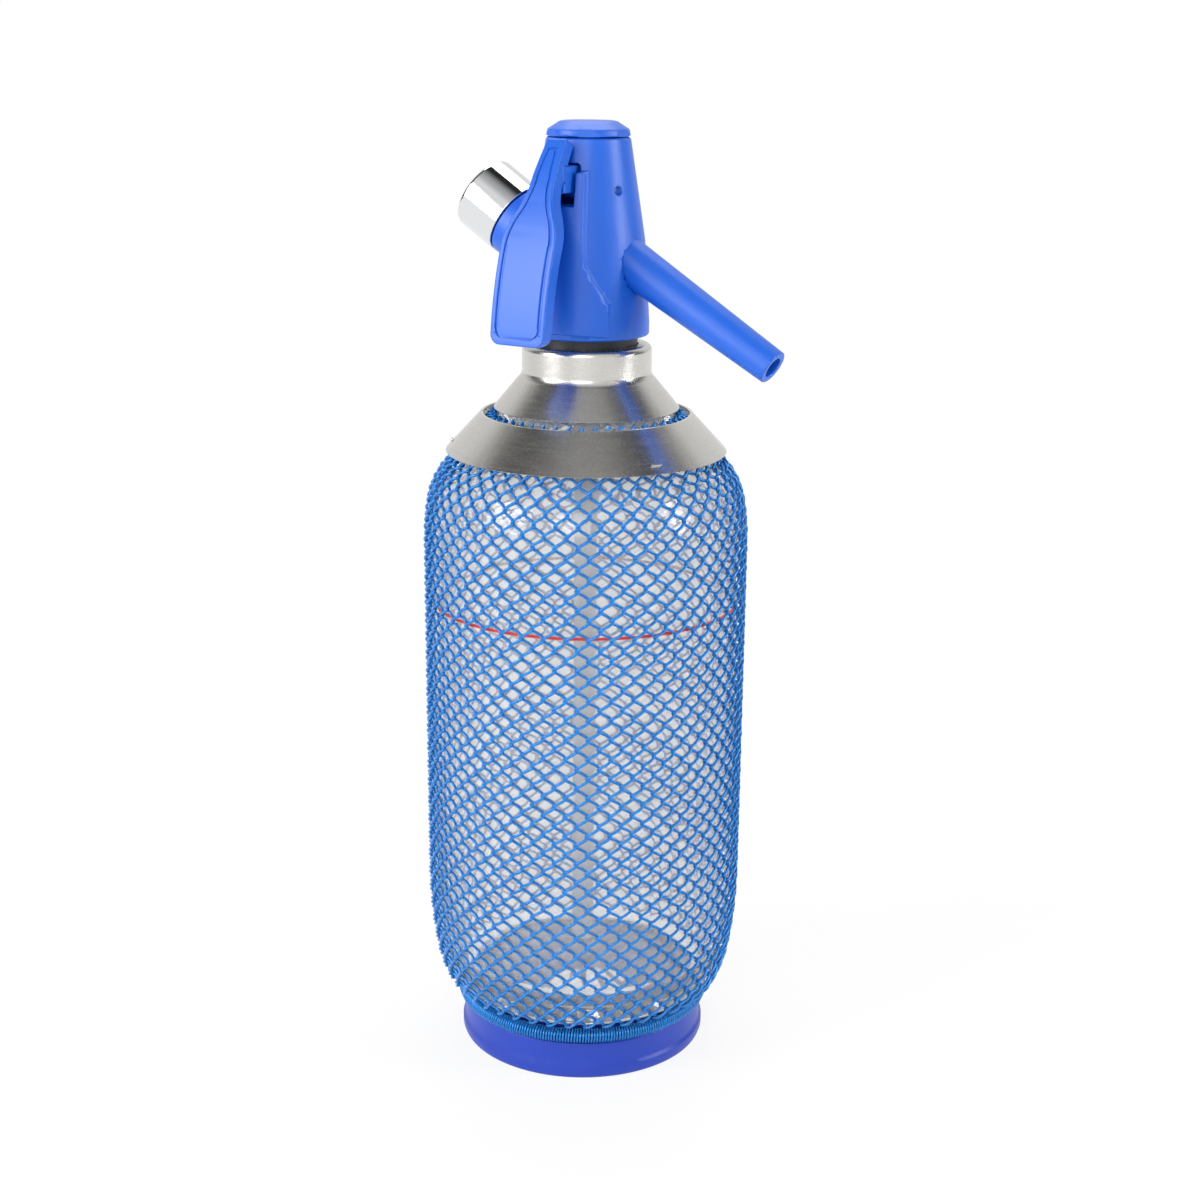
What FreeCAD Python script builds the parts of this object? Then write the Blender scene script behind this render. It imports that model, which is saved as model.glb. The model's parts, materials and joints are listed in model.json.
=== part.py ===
import FreeCAD, Part
import math
import os
import re
import Sketcher

# Soda siphon of one litre: a glass bottle in a woven wire sleeve, with a screwed-on lever head
# Origin on the bottle's axis in the plane it stands on; +Z up, spout towards +X, lever towards -Y
# Charging cap towards -X; every length in millimetres, every angle in degrees

VECTOR = FreeCAD.Vector
DOC = FreeCAD.newDocument("SodaSiphon")

# Driving dimensions: each is one cell of the sheet, with the word below as its alias
SIZES = {
    # foot
    "foot_radius": 42.4,
    "foot_height": 12.6,
    "foot_lip_height": 4.0,
    "foot_lip_chamfer": 1.6,
    "foot_draft": 1.2,
    "foot_hollow_radius": 29.0,
    "foot_seat_width": 5.0,
    # glass bottle
    "glass_bottom": 19.2,
    "glass_radius": 51.3,
    "glass_wall": 4.5,
    "glass_base": 6.0,
    "punt_rise": 4.0,
    "heel_radius": 8.0,
    "heel_rise": 4.3,
    "heel_waist": 45.45,
    "waist_rise": 13.8,
    "waist_radius": 48.8,
    "waist_arc": 34.3,
    "barrel_rise": 42.8,
    "barrel_low_arc": 150.0,
    "barrel_tall": 116.0,
    "shoulder_rise": 15.0,
    "shoulder_radius": 49.9,
    "shoulder_arc": 76.3,
    "cone_rise": 11.0,
    "cone_radius": 43.5,
    "cone_arc": 24.0,
    "cone_slope": 42.84,
    "neck_radius": 14.0,
    "neck_bore": 10.2,
    "neck_fillet": 7.0,
    "neck_rise": 50.0,
    # garter spring and woven sleeve
    "garter_radius": 41.2,
    "garter_coil": 2.8,
    "garter_drop": 3.6,
    "sleeve_depth": 3.4,
    "sleeve_wire": 1.0,
    "sleeve_wires": 28,
    "sleeve_zigs": 30,
    "sleeve_gap": 0.3,
    "sleeve_end": 42.0,
    "sleeve_rise": 14.6,
    # shoulder collar, its staples and the neck cover
    "collar_rise": 4.0,
    "collar_tall": 12.4,
    "collar_sheet": 0.7,
    "staple_wire": 0.9,
    "staple_length": 3.6,
    "staple_rise": 2.4,
    "staple_angle": -28.5,
    "cover_tall": 20.9,
    "cover_low_radius": 30.4,
    "cover_flare_drop": 2.5,
    "cover_cone_radius": 22.6,
    "cover_radius": 21.1,
    "cover_shank_tall": 9.0,
    "cover_drop": 2.6,
    "cover_sheet": 0.7,
    "cover_round": 2.0,
    # threaded neck ring and gasket
    "ring_shoulder_radius": 18.6,
    "ring_flange_radius": 16.4,
    "flange_drop": 8.4,
    "ring_thread_radius": 15.7,
    "thread_drop": 0.6,
    "gasket_thick": 2.0,
    "gasket_width": 3.4,
    # head housing
    "head_low_radius": 20.1,
    "head_band": 4.2,
    "head_waist_rise": 30.1,
    "head_waist_radius": 18.42,
    "head_tall": 62.1,
    "head_top_radius": 13.5,
    "head_edge": 0.6,
    "chamber_radius": 5.4,
    "chamber_tall": 21.2,
    "chamber_drop": 4.9,
    "loft_radius": 6.2,
    "loft_rise": 0.6,
    "cap_socket_radius": 10.0,
    # seat pad and slot for the lever
    "pad_rise": 2.0,
    "pad_low_rise": 0.7,
    "pad_top_drop": 8.5,
    "pad_top_half": 9.1,
    "pad_mid_rise": 23.6,
    "pad_mid_half": 11.7,
    "pad_hip_rise": 11.7,
    "pad_hip_half": 17.2,
    "pad_taper": 6.0,
    "slot_half": 5.6,
    "slot_drop": 4.6,
    "slot_rise": 8.3,
    # spout
    "spout_drop": 8.1,
    "spout_slope": 29.6,
    "spout_length": 77.6,
    "spout_tip_radius": 5.52,
    "spout_root_radius": 7.18,
    "spout_root": 14.5,
    "spout_plug": 10.0,
    "spout_plug_radius": 5.6,
    "spout_bore": 3.35,
    # charging side
    "charger_drop": 2.5,
    "charger_slope": 32.4,
    "boss_end": 32.0,
    "boss_radius": 11.9,
    "cap_start": 32.3,
    "cap_end": 48.2,
    "cap_radius": 12.35,
    "cap_wall": 2.0,
    "cap_round": 1.6,
    "nipple_end": 44.4,
    "nipple_socket_radius": 7.0,
    "nipple_start": 15.0,
    "nipple_seat_radius": 5.0,
    "nipple_seat_depth": 6.5,
    "washer_thick": 1.0,
    "gas_bore": 1.4,
    "gas_drop": 8.0,
    "pin_point_radius": 1.1,
    "pin_point_rise": 4.5,
    # top cap
    "top_radius": 13.4,
    "top_gap": 0.25,
    "top_rise": 2.4,
    "top_tall": 5.0,
    "top_draft": 0.45,
    "top_face_radius": 8.6,
    "top_flat_depth": 0.55,
    "pocket_drop": 2.0,
    "top_pocket_radius": 4.4,
    # valve
    "stem_radius": 1.5,
    "stem_tip": 4.5,
    "stem_collar_lift": 2.4,
    "stem_collar_rise": 1.6,
    "stem_collar_radius": 3.8,
    "seal_radius": 3.6,
    "seal_thick": 2.2,
    "seat_rise": 3.0,
    "seat_bore": 1.8,
    "seat_lip": 0.8,
    "gland_rise": 2.6,
    "oring_wire": 1.7,
    "valve_spring_wire": 0.7,
    "valve_spring_radius": 2.9,
    "valve_spring_turns": 5,
    # riser tube and its holder
    "riser_radius": 3.9,
    "riser_bore": 2.7,
    "riser_rise": 13.8,
    "holder_radius": 4.7,
    "holder_drop": 3.0,
    "holder_grip": 10.5,
    # lever and its pin
    "lever_rise": 15.8,
    "lever_top_reach": 18.5,
    "lever_drop": 45.5,
    "lever_low_reach": 41.2,
    "lever_arch": 118.0,
    "lever_thick": 4.8,
    "lever_neck_half": 4.3,
    "lever_neck_rise": 4.9,
    "lever_waist_half": 7.0,
    "lever_waist_drop": 6.1,
    "lever_half": 9.9,
    "lever_hip_drop": 15.4,
    "lever_neck_arc": 22.0,
    "lever_hip_arc": 20.0,
    "lever_corner": 3.3,
    "groove_inset": 1.8,
    "groove_width": 0.6,
    "groove_depth": 0.5,
    "arm_half": 4.4,
    "arm_drop": 0.5,
    "arm_rise": 7.8,
    "hub_radius": 2.9,
    "pivot_reach": 5.7,
    "pivot_drop": 15.9,
    "fork_tip": 1.6,
    "fork_rise": 3.0,
    "pin_radius": 1.25,
    "pin_recess": 1.2,
    # clearances
    "fit": 0.05,
    "running": 0.1,
    "clearance": 0.3,
}

sheet = DOC.addObject("Spreadsheet::Sheet", "Sizes")
for row, (alias, number) in enumerate(SIZES.items(), start=1):
    sheet.set(f"A{row}", alias.replace("_", " "))
    sheet.set(f"B{row}", str(number))
    sheet.setAlias(f"B{row}", alias)
DOC.recompute()


# Heights stacked on one another, each written in sizes and in other heights
PLACES = {
    "heel_top": "glass_bottom + heel_rise",
    "waist_height": "glass_bottom + waist_rise",
    "barrel_low": "glass_bottom + barrel_rise",
    "barrel_high": "barrel_low + barrel_tall",
    "shoulder_height": "barrel_high + shoulder_rise",
    "cone_height": "shoulder_height + cone_rise",
    "glass_top": "cone_height + neck_rise",
    "garter_height": "glass_bottom - garter_drop",
    "sleeve_top": "cone_height + sleeve_rise",
    "collar_low": "cone_height + collar_rise",
    "collar_high": "collar_low + collar_tall",
    "staple_height": "collar_low + staple_rise",
    "cover_low": "cover_high - cover_tall",
    "cover_cone_top": "cover_shank - cover_flare_drop",
    "cover_shank": "cover_high - cover_shank_tall",
    "cover_high": "ring_flange_top - cover_drop",
    "ring_flange_top": "glass_top - flange_drop",
    "ring_thread_top": "glass_top - thread_drop",
    "head_low": "ring_flange_top + clearance",
    "head_waist_height": "head_low + head_waist_rise",
    "head_top": "head_low + head_tall",
    "chamber_low": "chamber_high - chamber_tall",
    "chamber_high": "pivot_height - chamber_drop",
    "loft_high": "slot_high + loft_rise",
    "pad_top": "head_top - pad_top_drop",
    "pad_mid": "head_low + pad_mid_rise",
    "pad_hip": "head_low + pad_hip_rise",
    "slot_low": "pivot_height - slot_drop",
    "slot_high": "pivot_height + slot_rise",
    "spout_cross": "chamber_high - spout_drop",
    "charger_cross": "chamber_low - charger_drop",
    "top_height": "head_top + top_tall",
    "top_pocket": "head_top - pocket_drop",
    "stem_top": "stem_collar_low + stem_tip",
    "stem_collar_low": "pivot_height + stem_collar_lift",
    "riser_low": "glass_bottom + riser_rise",
    "holder_low": "glass_top - holder_drop",
    "lever_top": "pivot_height + lever_rise",
    "lever_low": "pivot_height - lever_drop",
    "lever_neck_low": "pivot_height + lever_neck_rise",
    "lever_waist": "pivot_height - lever_waist_drop",
    "lever_hip": "pivot_height - lever_hip_drop",
    "arm_low": "pivot_height - arm_drop",
    "arm_high": "pivot_height + arm_rise",
    "pivot_height": "head_top - pivot_drop",
}


def spelled_out(formula):
    """The formula with each stacked height written out, until only sizes are left."""
    longer = re.sub(r"[a-z][a-z_]+", lambda m: f"({PLACES[m[0]]})" if m[0] in PLACES else m[0], formula)
    return formula if longer == formula else spelled_out(longer)


def bound(formula):
    """The formula with each size's word pointed at its cell."""
    return re.sub(r"[a-z][a-z_]+", lambda m: "Sizes." + m[0] if m[0] in SIZES else m[0],
                  spelled_out(formula))


def value(formula):
    """The formula's number now."""
    return float(sheet.evalExpression(spelled_out(formula)))


def bind(item, **properties):
    """Tie each named property of a document object to a formula."""
    for name, formula in properties.items():
        item.setExpression(name.replace("__", "."), bound(formula))


# Places that several pieces share, each worked out from the sizes
COS_CONE = "cos(cone_slope)"
NECK_MEET = "(cone_height + (cone_radius - neck_radius)/tan(cone_slope))"
NECK_TANGENT = "(neck_fillet*tan(cone_slope/2))"
GASKET_TOP = "(glass_top + gasket_thick)"
COVER_ROOF = "(cover_high - cover_sheet)"
SEAT_TOP = "(chamber_low + seat_rise)"
GLAND_LOW = "(chamber_high - gland_rise)"
COLLAR_TOP = "(stem_collar_low + stem_collar_rise)"
NIPPLE_RADIUS = "(cap_radius - cap_wall - running)"
WASHER_END = "(nipple_end + washer_thick)"
TOP_LOW = "(head_top + top_gap)"


def cone(height, offset="0"):
    """Radius of the glass shoulder cone at a height, moved out along its normal."""
    return f"(cone_radius + ({offset})/{COS_CONE} - (({height}) - cone_height)*tan(cone_slope))"


def head_skin(height):
    """Radius of the head housing at a height above its waist."""
    fall = "(head_waist_radius - head_top_radius)/(head_top - head_waist_height)"
    return f"(head_waist_radius - (({height}) - head_waist_height)*{fall})"


# Outlines: a list of corners, each (across, up) or (across, up, arc radius, side) for a curved run on
OUT = 1
IN = -1

# Turn of a sketch plane for pieces that aren't bodies
SIDE_PLANE = {
    "XZ": FreeCAD.Rotation(VECTOR(1, 0, 0), 90),
    "YZ": FreeCAD.Rotation(VECTOR(1, 1, 1), 120),
    "XY": FreeCAD.Rotation(),
}


def arc_between(start, end, radius, side):
    """Arc from start to end; side OUT bulges to the right of the way travelled."""
    chord = end - start
    half = chord.Length/2
    lift = math.sqrt(max(radius**2 - half**2, 0))
    left = VECTOR(-chord.y, chord.x, 0).normalize()
    centre = (start + end)/2 + left*lift*side
    circle = Part.Circle(centre, VECTOR(0, 0, 1), radius)
    first, last = (start, end) if side == OUT else (end, start)
    angles = [math.atan2(p.y - centre.y, p.x - centre.x) for p in (first, last)]
    if angles[1] < angles[0]:
        angles[1] += 2*math.pi
    return Part.ArcOfCircle(circle, angles[0], angles[1])


def draw(sketch, outline):
    """Draw a closed outline in a sketch and tie every corner and arc to its formulas."""
    places = [VECTOR(value(corner[0]), value(corner[1]), 0) for corner in outline]
    ends = []
    for index, corner in enumerate(outline):
        start = places[index]
        end = places[(index + 1) % len(outline)]
        if len(corner) == 2:
            sketch.addGeometry(Part.LineSegment(start, end), False)
            ends.append((1, 2))
            continue
        arc = arc_between(start, end, value(corner[2]), corner[3])
        edge = sketch.addGeometry(arc, False)
        ends.append((1, 2) if corner[3] == OUT else (2, 1))
        rule = sketch.addConstraint(Sketcher.Constraint("Radius", edge, arc.Radius))
        sketch.setExpression(f"Constraints[{rule}]", bound(corner[2]))
    for index, corner in enumerate(outline):
        after = (index + 1) % len(outline)
        link = Sketcher.Constraint("Coincident", index, ends[index][1], after, ends[after][0])
        sketch.addConstraint(link)
        for kind, axis, formula in (("DistanceX", -2, corner[0]), ("DistanceY", -1, corner[1])):
            if formula == "0":
                sketch.addConstraint(Sketcher.Constraint("PointOnObject", index, ends[index][0], axis))
                continue
            size = Sketcher.Constraint(kind, -1, 1, index, ends[index][0], value(formula))
            rule = sketch.addConstraint(size)
            sketch.setExpression(f"Constraints[{rule}]", bound(formula))


def body_sketch(body, name, role, outline):
    """A sketch on one of the body's own origin planes."""
    sketch = body.newObject("Sketcher::SketchObject", name)
    plane = [f for f in body.Origin.OriginFeatures if f.Role == role][0]
    sketch.AttachmentSupport = [(plane, "")]
    sketch.MapMode = "FlatFace"
    draw(sketch, outline)
    return sketch


def free_sketch(name, plane, outline):
    """A sketch that stands by itself in one of the main planes."""
    sketch = DOC.addObject("Sketcher::SketchObject", name)
    sketch.Placement = FreeCAD.Placement(VECTOR(0, 0, 0), SIDE_PLANE[plane])
    draw(sketch, outline)
    return sketch


# Leaning axes: the turn about Y that lays +Z along them, its sense, and where they cross the main axis
LEANING = {
    "spout": ("(90 + spout_slope)", 1, "spout_cross"),
    "charger": ("(90 - charger_slope)", -1, "charger_cross"),
}


def lean(item, axis, along="0"):
    """Stand an object on a leaning axis, a distance along it."""
    turn, sense, height = LEANING[axis]
    item.Placement = FreeCAD.Placement(
        VECTOR(0, 0, 0), FreeCAD.Rotation(VECTOR(0, sense, 0), value(turn)))
    bind(item, Placement__Rotation__Angle=turn,
         Placement__Base__x=f"({along})*sin({turn})*{sense}",
         Placement__Base__z=f"{height} + ({along})*cos({turn})")


PARTS = []


def keep(item, node):
    """Name a finished sub-part after the node that it is."""
    item.Label = node
    PARTS.append(item)
    return item


def turned(node, outline, axis=None):
    """A piece turned on a lathe: one closed half outline, spun about the upright or a leaning axis."""
    body = DOC.addObject("PartDesign::Body", node.title().replace("_", ""))
    profile = body_sketch(body, node + "_profile", "XZ_Plane", outline)
    spin = body.newObject("PartDesign::Revolution", node + "_spin")
    spin.Profile = profile
    spin.ReferenceAxis = (profile, ["V_Axis"])
    spin.Angle = 360
    if axis:
        lean(body, axis)
    return keep(body, node)


def tube(low, high, inner, outer):
    """Half outline of a plain ring between two heights."""
    return [(inner, low), (outer, low), (outer, high), (inner, high)]


def round_bar(middle, radius, height):
    """Outline of a ring of round bar as a polygon of twelve sides about its middle."""
    corners = range(15, 375, 30)
    return [(f"{middle} + {radius}*cos({turn})", f"{height} + {radius}*sin({turn})") for turn in corners]


def rod(name, radius, low, high, axis=None):
    """A cylinder between two stations of the upright or a leaning axis."""
    item = DOC.addObject("Part::Cylinder", name)
    bind(item, Radius=radius, Height=f"({high}) - ({low})")
    if axis:
        lean(item, axis, low)
    else:
        bind(item, Placement__Base__z=low)
    return item


def spun(name, outline, axis=None):
    """A plain solid of revolution, for use in a boolean."""
    item = DOC.addObject("Part::Revolution", name)
    item.Source = free_sketch(name + "_profile", "XZ", outline)
    item.Axis = VECTOR(0, 0, 1)
    item.Angle = 360
    item.Solid = True
    if axis:
        lean(item, axis)
    return item


def drawn_out(name, plane, outline, forward, backward="0", taper="0"):
    """A sketch drawn out along its plane's normal, forward and backward."""
    item = DOC.addObject("Part::Extrusion", name)
    item.Base = free_sketch(name + "_profile", plane, outline)
    item.DirMode = "Normal"
    item.Solid = True
    bind(item, LengthFwd=forward, LengthRev=backward, TaperAngle=taper)
    return item


def joined(name, kind, items):
    """Fuse or common of several solids."""
    item = DOC.addObject("Part::MultiFuse" if kind == "fuse" else "Part::MultiCommon", name)
    item.Shapes = items
    return item


def cut(name, base, tool):
    """One solid less another."""
    item = DOC.addObject("Part::Cut", name)
    item.Base = base
    item.Tool = tool
    return item


# Foot: a moulded ring with a lip at the floor, a groove for the garter and a seat for the glass
GROOVE = "(garter_radius - garter_coil - sleeve_wire - clearance)"
FOOT_SHOULDER = "(foot_radius - foot_draft)"
turned("foot_ring", [
    ("foot_hollow_radius", "0"),
    ("foot_radius - foot_draft/2", "0"),
    ("foot_radius", "foot_lip_chamfer"),
    ("foot_radius", "foot_lip_height"),
    (FOOT_SHOULDER + " + foot_draft/3", "foot_lip_height + foot_lip_chamfer/2"),
    (FOOT_SHOULDER, "foot_height"),
    (GROOVE, "foot_height"),
    (GROOVE, "glass_bottom"),
    (GROOVE + " - foot_seat_width", "glass_bottom"),
    ("foot_hollow_radius", "glass_bottom - foot_seat_width"),
])

# Glass bottle: outer wall from the punt up to the lip, then the inner wall back down
HEEL_EDGE = "(heel_waist - heel_radius*0.884)"
turned("glass_bottle", [
    ("0", "glass_bottom + punt_rise"),
    (HEEL_EDGE + " - 2*heel_radius", "glass_bottom"),
    (HEEL_EDGE, "glass_bottom", "heel_radius", OUT),
    ("heel_waist", "heel_top", "waist_arc", OUT),
    ("waist_radius", "waist_height", "barrel_low_arc", OUT),
    ("glass_radius", "barrel_low"),
    ("glass_radius", "barrel_high", "shoulder_arc", OUT),
    ("shoulder_radius", "shoulder_height", "cone_arc", OUT),
    ("cone_radius", "cone_height"),
    (f"neck_radius + {NECK_TANGENT}*sin(cone_slope)",
     f"{NECK_MEET} - {NECK_TANGENT}*{COS_CONE}", "neck_fillet", IN),
    ("neck_radius", f"{NECK_MEET} + {NECK_TANGENT}"),
    ("neck_radius", "glass_top"),
    ("neck_bore", "glass_top"),
    ("neck_bore", f"{NECK_MEET} - glass_wall/2"),
    ("cone_radius - glass_wall*0.73", "cone_height - glass_wall*0.68", "cone_arc - glass_wall", IN),
    ("shoulder_radius - glass_wall", "shoulder_height - glass_wall*0.19",
     "shoulder_arc - glass_wall", IN),
    ("glass_radius - glass_wall", "barrel_high"),
    ("glass_radius - glass_wall", "barrel_low", "barrel_low_arc - glass_wall", IN),
    ("waist_radius - glass_wall", "waist_height + glass_wall*0.19", "waist_arc/2", IN),
    ("heel_waist - 2*heel_radius", "glass_bottom + glass_base"),
    ("0", "glass_bottom + glass_base + punt_rise"),
])
GLASS = PARTS[-1]

# Garter spring that holds the sleeve's lower end in the foot's groove
turned("garter_spring", round_bar("garter_radius", "garter_coil", "garter_height"))


# How far a sleeve wire swings past half its spacing, so that neighbours hook
SLEEVE_HOOK = 1.06


def glass_side():
    """Points and outward normals on the glass from the heel to the sleeve's top end, evenly spaced."""
    profile = GLASS.Tip.Profile[0]
    low, high = value("sleeve_end"), value("sleeve_top")
    edges = Part.sortEdges(profile.Shape.Edges)[0]
    runs = int(value("sleeve_zigs"))
    outer = [e for e in edges if min(v.X for v in e.Vertexes) > value("neck_radius") - 1e-6
             and e.CenterOfMass.z > value("glass_bottom") + 1e-6
             and max(abs(v.X) for v in e.Vertexes) > value("neck_radius") + 1e-6]
    face = Part.Face(Part.Wire(edges))
    outer = [e for e in outer if is_outside(e, face)]
    line = [p for p in Part.Wire(Part.sortEdges(outer)[0]).discretize(Distance=0.5)]
    if line[0].z > line[-1].z:
        line.reverse()
    line = [p for p in line if p.z < high and not (p.x < low and p.z < value("heel_top"))]
    lengths = [0.0]
    for before, after in zip(line, line[1:]):
        lengths.append(lengths[-1] + (after - before).Length)
    stations = []
    for step in range(runs + 1):
        goal = lengths[-1]*step/runs
        index = max(i for i, s in enumerate(lengths) if s <= goal + 1e-9)
        index = min(index, len(line) - 2)
        share = (goal - lengths[index])/(lengths[index + 1] - lengths[index])
        along = line[index + 1] - line[index]
        normal = VECTOR(along.z, 0, -along.x).normalize()
        stations.append((line[index] + along*share, normal))
    return stations


def is_outside(edge, face):
    """Whether the side of an upright edge away from the axis is clear of the glass."""
    middle = edge.valueAt((edge.FirstParameter + edge.LastParameter)/2)
    return not face.isInside(middle + VECTOR(0.3, 0, 0.02), 1e-3, False)


def mitred(points, section):
    """A solid that carries a flat-sided section along straight runs, mitred at each corner."""
    rings = []
    ring = section
    for index, point in enumerate(points):
        back = points[index] - points[max(index - 1, 0)]
        ahead = points[min(index + 1, len(points) - 1)] - points[index]
        back = back.normalize() if back.Length else ahead.normalize()
        ahead = VECTOR(ahead).normalize() if ahead.Length else back
        plane = (back + ahead).normalize()
        if index == 0:
            ring = [point + offset for offset in section]
        along = back
        ring = [corner + along*((point - corner).dot(plane)/along.dot(plane)) for corner in ring]
        rings.append(ring)
    count = len(section)
    faces = [Part.Face(Part.makePolygon(end + [end[0]])) for end in (rings[0], rings[-1])]
    for lower, upper in zip(rings, rings[1:]):
        for side in range(count):
            after = (side + 1) % count
            corners = [lower[side], lower[after], upper[after], upper[side], lower[side]]
            faces.append(Part.Face(Part.makePolygon(corners)))
    return Part.makeSolid(Part.makeShell(faces))


def zigzag(first_side):
    """One upright wire of the sleeve, whose corners swing left, near the glass, and right, further out."""
    half_wire = value("sleeve_wire")/2
    lift = {-1: value("sleeve_gap") + half_wire*1.5, 1: value("sleeve_depth") - half_wire*1.5}
    swing = SLEEVE_HOOK*180.0/int(value("sleeve_wires"))
    side = first_side
    corners = []
    for point, normal in glass_side():
        spot = point + normal*lift[side]
        corners.append(FreeCAD.Rotation(VECTOR(0, 0, 1), swing*side).multVec(spot))
        side = -side
    run = (corners[1] - corners[0]).normalize()
    outward = VECTOR(corners[0].x, corners[0].y, 0).normalize()
    across = run.cross(outward).normalize()
    outward = across.cross(run).normalize()
    section = []
    for corner in range(3):
        angle = math.radians(120*corner + 60)
        section.append((outward*math.cos(angle) + across*math.sin(angle))*half_wire*1.3)
    return mitred(corners, section)


def woven_sleeve():
    """Upright zigzag wires hooked behind one another, laid over the glass."""
    wires = int(value("sleeve_wires")/2)*2
    strands = [zigzag(1), zigzag(-1)]
    solids = []
    for index in range(wires):
        copy = strands[index % 2].copy()
        copy.rotate(VECTOR(0, 0, 0), VECTOR(0, 0, 1), 360.0*index/wires)
        solids.append(copy)
    return Part.makeCompound(solids)


DOC.recompute()
sleeve = DOC.addObject("Part::Feature", "MeshSleeve")
sleeve.Shape = woven_sleeve()
keep(sleeve, "mesh_sleeve")

# Shoulder collar: a thin steel cone over the sleeve
COLLAR_LIFT = "(sleeve_gap + sleeve_depth + clearance)"
turned("shoulder_collar", [
    (cone("collar_low", COLLAR_LIFT), "collar_low"),
    (cone("collar_low", COLLAR_LIFT + " + collar_sheet"), "collar_low"),
    (cone("collar_high", COLLAR_LIFT + " + collar_sheet"), "collar_high"),
    (cone("collar_high", COLLAR_LIFT), "collar_high"),
])


def blunt_end(middle, reach, corners):
    """A short stub of a flat-sided wire that narrows to half its width at its tip."""
    root = [middle + corner for corner in corners]
    tip = [middle + reach + corner/2 for corner in corners]
    faces = [Part.Face(Part.makePolygon(end + [end[0]])) for end in (root, tip)]
    for side, corner in enumerate(root):
        after = (side + 1) % len(root)
        faces.append(Part.Face(Part.makePolygon([corner, root[after], tip[after], tip[side], corner])))
    return Part.makeSolid(Part.makeShell(faces))


def staples():
    """Three short wire staples laid across the collar."""
    radius = value(cone("staple_height", COLLAR_LIFT + " + collar_sheet"))
    wire = value("staple_wire")/2
    slope = math.radians(value("cone_slope"))
    out = VECTOR(math.cos(slope), 0, math.sin(slope))
    up = VECTOR(-math.sin(slope), 0, math.cos(slope))
    seat = VECTOR(radius, 0, value("staple_height")) + out*wire
    half = VECTOR(0, value("staple_length")/2, 0)
    shorter = half - VECTOR(0, wire, 0)
    corners = [(out*math.cos(math.radians(turn)) + up*math.sin(math.radians(turn)))*wire
               for turn in range(30, 390, 60)]
    bar = mitred([seat - shorter, seat + shorter], corners)
    for side in (-1, 1):
        bar = bar.fuse(blunt_end(seat + shorter*side, (half - shorter)*side, corners))
    bar = bar.removeSplitter()
    copies = []
    for index in range(3):
        copy = bar.copy()
        copy.rotate(VECTOR(0, 0, 0), VECTOR(0, 0, 1), value("staple_angle") + 120*index)
        copies.append(copy)
    return Part.makeCompound(copies)


staple_set = DOC.addObject("Part::Feature", "CollarStaples")
staple_set.Shape = staples()
keep(staple_set, "collar_staples")

# Neck cover: a spun steel bell, with a turned-in roof that sits on the neck ring's shoulder
turned("neck_cover", [
    ("cover_low_radius - cover_sheet", "cover_low"),
    ("cover_low_radius", "cover_low"),
    ("cover_cone_radius", "cover_cone_top", "cover_round*2.4", IN),
    ("cover_radius", "cover_shank"),
    ("cover_radius", "cover_high - cover_round", "cover_round", OUT),
    ("cover_radius - cover_round", "cover_high"),
    ("ring_flange_radius + clearance", "cover_high"),
    ("ring_flange_radius + clearance", COVER_ROOF),
    ("cover_radius - cover_round", COVER_ROOF, "cover_round - cover_sheet", IN),
    ("cover_radius - cover_sheet", "cover_high - cover_round"),
    ("cover_radius - cover_sheet", "cover_shank"),
    ("cover_cone_radius - cover_sheet", "cover_cone_top"),
])

# Black threaded ring on the glass neck: shoulder under the cover, flange, then the thread
turned("neck_thread_ring", [
    ("neck_radius + running", f"{NECK_MEET} + {NECK_TANGENT} + clearance"),
    ("ring_shoulder_radius", f"{NECK_MEET} + {NECK_TANGENT} + clearance"),
    ("ring_shoulder_radius", COVER_ROOF),
    ("ring_flange_radius", COVER_ROOF),
    ("ring_flange_radius", "ring_flange_top"),
    ("ring_thread_radius", "ring_flange_top"),
    ("ring_thread_radius", "ring_thread_top"),
    ("neck_radius + running", "ring_thread_top"),
])

# Flat rubber gasket on the glass lip
turned("neck_gasket", tube("glass_top", GASKET_TOP, "neck_bore + running",
                           "neck_bore + gasket_width"))

# Head housing
HEAD_OUTLINE = [
    ("0", "head_low"),
    ("head_low_radius - head_edge", "head_low"),
    ("head_low_radius", "head_low + head_edge"),
    ("head_low_radius", "head_low + head_band"),
    ("head_waist_radius", "head_waist_height"),
    ("head_top_radius", "head_top - head_edge"),
    ("head_top_radius - head_edge", "head_top"),
    ("0", "head_top"),
]
PAD_OUTLINE = [
    ("0", "head_low"),
    ("head_low_radius + pad_low_rise", "head_low"),
    ("head_low_radius + pad_low_rise", "head_low + head_band"),
    ("head_waist_radius + pad_rise", "head_waist_height"),
    (head_skin("pad_top") + " + pad_rise", "pad_top"),
    ("0", "pad_top"),
]
PAD_SHAPE = [
    ("-pad_hip_half", "head_low"),
    ("pad_hip_half", "head_low"),
    ("pad_hip_half", "pad_hip"),
    ("pad_mid_half", "pad_mid"),
    ("pad_top_half", "pad_top"),
    ("-pad_top_half", "pad_top"),
    ("-pad_mid_half", "pad_mid"),
    ("-pad_hip_half", "pad_hip"),
]
pad = joined("SeatPad", "common", [
    spun("PadSkin", PAD_OUTLINE),
    drawn_out("PadShape", "XZ", PAD_SHAPE, "head_low_radius + 2*pad_rise", taper="-pad_taper"),
])
blank = joined("HeadBlank", "fuse", [
    spun("HeadSkin", HEAD_OUTLINE),
    pad,
    rod("ChargerBoss", "boss_radius", "cap_radius", "boss_end", "charger"),
])


def box(name, low, high):
    """A box between two corners, each three formulas."""
    item = DOC.addObject("Part::Box", name)
    for side, axis, start, end in zip(("Length", "Width", "Height"), "xyz", low, high):
        bind(item, **{side: f"({end}) - ({start})", f"Placement__Base__{axis}": start})
    return item


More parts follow.
